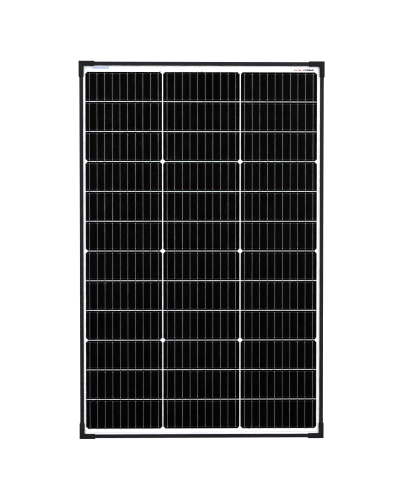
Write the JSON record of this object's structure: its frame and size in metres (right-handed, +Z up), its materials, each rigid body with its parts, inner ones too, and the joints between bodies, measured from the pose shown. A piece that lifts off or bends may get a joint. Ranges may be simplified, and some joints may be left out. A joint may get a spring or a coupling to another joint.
{
  "type": "solar panel",
  "caption": "Upright framed photovoltaic panel: black aluminium rails, glass laminate with cell strings, slip-on corner guards and a rear junction box with lid and cable glands.",
  "frame": {"origin": "centre of the whole panel's bounding box, corner guards included", "axes": "+X to the right seen from the front, +Y into the panel from its glass side to its back, +Z up along the long side"},
  "size_m": [0.5834, 0.0334, 0.8984],
  "materials": {
    "black_anodised": "satin black anodised",
    "key_aluminium": "mill finish",
    "guard_plastic": "fine moulded grain",
    "seal_rubber": "matt",
    "clear_glass": "low-iron tempered, clear",
    "clear_film": "clear",
    "white_backsheet": "satin film",
    "silicon_cell": "textured silicon, blue-black",
    "tinned_copper": "tinned",
    "white_film": "matt film",
    "blank_label": "matt print",
    "grey_print": "matt print",
    "white_label": "satin label film",
    "foam_tape": "foam adhesive",
    "box_plastic": "fine moulded grain",
    "plated_brass": "nickel plated",
    "screw_steel": "zinc plated",
    "diode_epoxy": "moulded epoxy"
  },
  "bodies": {
    "panel": {"frame_rail_left": "black_anodised", "frame_rail_right": "black_anodised", "frame_rail_top": "black_anodised", "frame_rail_bottom": "black_anodised", "corner_key_top_left": "key_aluminium", "corner_key_top_right": "key_aluminium", "corner_key_bottom_left": "key_aluminium", "corner_key_bottom_right": "key_aluminium", "corner_guard_top_left": "guard_plastic", "corner_guard_top_right": "guard_plastic", "corner_guard_bottom_left": "guard_plastic", "corner_guard_bottom_right": "guard_plastic", "edge_seal": "seal_rubber", "front_glass": "clear_glass", "front_encapsulant": "clear_film", "rear_encapsulant": "white_film", "backsheet": "white_backsheet", "cell_string_left": "silicon_cell", "cell_string_centre": "silicon_cell", "cell_string_right": "silicon_cell", "bus_ribbon_top_left": "tinned_copper", "bus_ribbon_top_right": "tinned_copper", "bus_ribbon_bottom_left": "tinned_copper", "bus_ribbon_bottom_right": "tinned_copper", "bus_cover_top": "white_film", "bus_cover_bottom": "white_film", "lead_start": "tinned_copper", "lead_tap": "tinned_copper", "lead_return": "tinned_copper", "insulation_strip": "white_film", "insulation_patch": "white_film", "serial_label": "blank_label", "front_mark": "grey_print", "rating_label": "white_label", "jbox_adhesive": "foam_tape", "jbox_base": "box_plastic", "gland_seal_left": "seal_rubber", "gland_seal_right": "seal_rubber", "terminal_left": "plated_brass", "terminal_centre": "plated_brass", "terminal_right": "plated_brass", "terminal_screw_left": "screw_steel", "terminal_screw_centre": "screw_steel", "terminal_screw_right": "screw_steel", "bypass_diode_left": "diode_epoxy", "bypass_diode_right": "diode_epoxy"},
    "jbox_cover": {"jbox_lid": "box_plastic", "jbox_lid_gasket": "seal_rubber"},
    "washer_left": {"gland_washer_left": "box_plastic"},
    "nut_left": {"gland_nut_left": "box_plastic"},
    "washer_right": {"gland_washer_right": "box_plastic"},
    "nut_right": {"gland_nut_right": "box_plastic"}
  },
  "joints": [
    {"name": "lid_hinge", "type": "hinge", "parent": "panel", "child": "jbox_cover", "pos_m": [0, 0.0111, 0.3835], "axis": [1, 0, 0], "range_deg": [0, 110]},
    {"name": "washer_slide_left", "type": "slide", "parent": "panel", "child": "washer_left", "axis": [0, 0, -1], "range_m": [0, 0.0045]},
    {"name": "nut_turn_left", "type": "hinge", "parent": "washer_left", "child": "nut_left", "pos_m": [-0.028, 0.0023, 0.28], "axis": [0, 0, -1], "range_deg": [0, 1080]},
    {"name": "washer_slide_right", "type": "slide", "parent": "panel", "child": "washer_right", "axis": [0, 0, -1], "range_m": [0, 0.0045]},
    {"name": "nut_turn_right", "type": "hinge", "parent": "washer_right", "child": "nut_right", "pos_m": [0.028, 0.0023, 0.28], "axis": [0, 0, -1], "range_deg": [0, 1080]}
  ],
  "couplings": [
    {"joint": "nut_turn_left", "follows": "washer_slide_left", "rad_per_m": 4188.8},
    {"joint": "nut_turn_right", "follows": "washer_slide_right", "rad_per_m": 4188.8}
  ]
}
